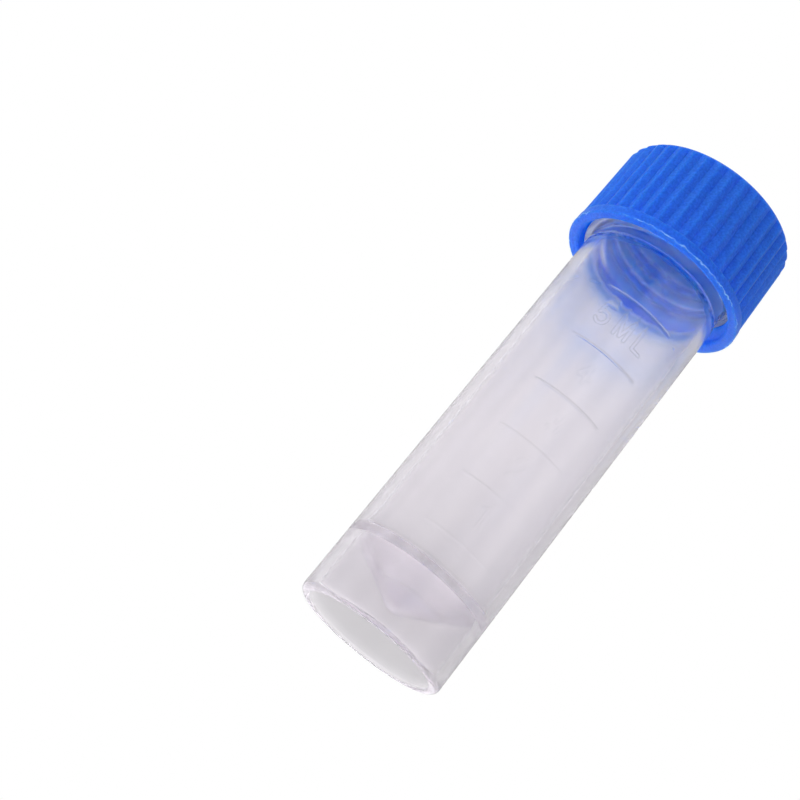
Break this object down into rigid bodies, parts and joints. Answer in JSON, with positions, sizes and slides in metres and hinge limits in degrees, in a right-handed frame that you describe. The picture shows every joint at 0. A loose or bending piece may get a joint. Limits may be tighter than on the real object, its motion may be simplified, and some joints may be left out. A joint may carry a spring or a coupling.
{
  "type": "cryovial",
  "caption": "Self-standing 5 mL cryogenic vial: clear vial with conical bottom, skirt and outside thread, ribbed blue screw cap and sealing washer.",
  "frame": {"origin": "centre of the circle on which the skirt stands", "axes": "+Z along the vial's axis, from the skirt up to the cap; the graduations face -Y"},
  "size_m": [0.0212, 0.0212, 0.0603],
  "materials": {
    "vial": "clear, slightly hazy moulded polypropylene with a faint lavender cast",
    "seal": "matt translucent silicone",
    "cap": "satin medium-blue moulded polyethylene"
  },
  "bodies": {
    "vial": {"vial": "vial"},
    "seal": {"sealing_ring": "seal"},
    "cap": {"screw_cap": "cap"}
  },
  "joints": [
    {"name": "cap_lift", "type": "slide", "parent": "vial", "child": "seal", "axis": [0, 0, 1], "range_m": [0, 0.01]},
    {"name": "cap_turn", "type": "hinge", "parent": "seal", "child": "cap", "pos_m": [0, 0, 0.0545], "axis": [0, 0, 1], "range_deg": [0, 1440]}
  ],
  "couplings": [
    {"joint": "cap_lift", "follows": "cap_turn", "m_per_rad": 0.00039789}
  ]
}
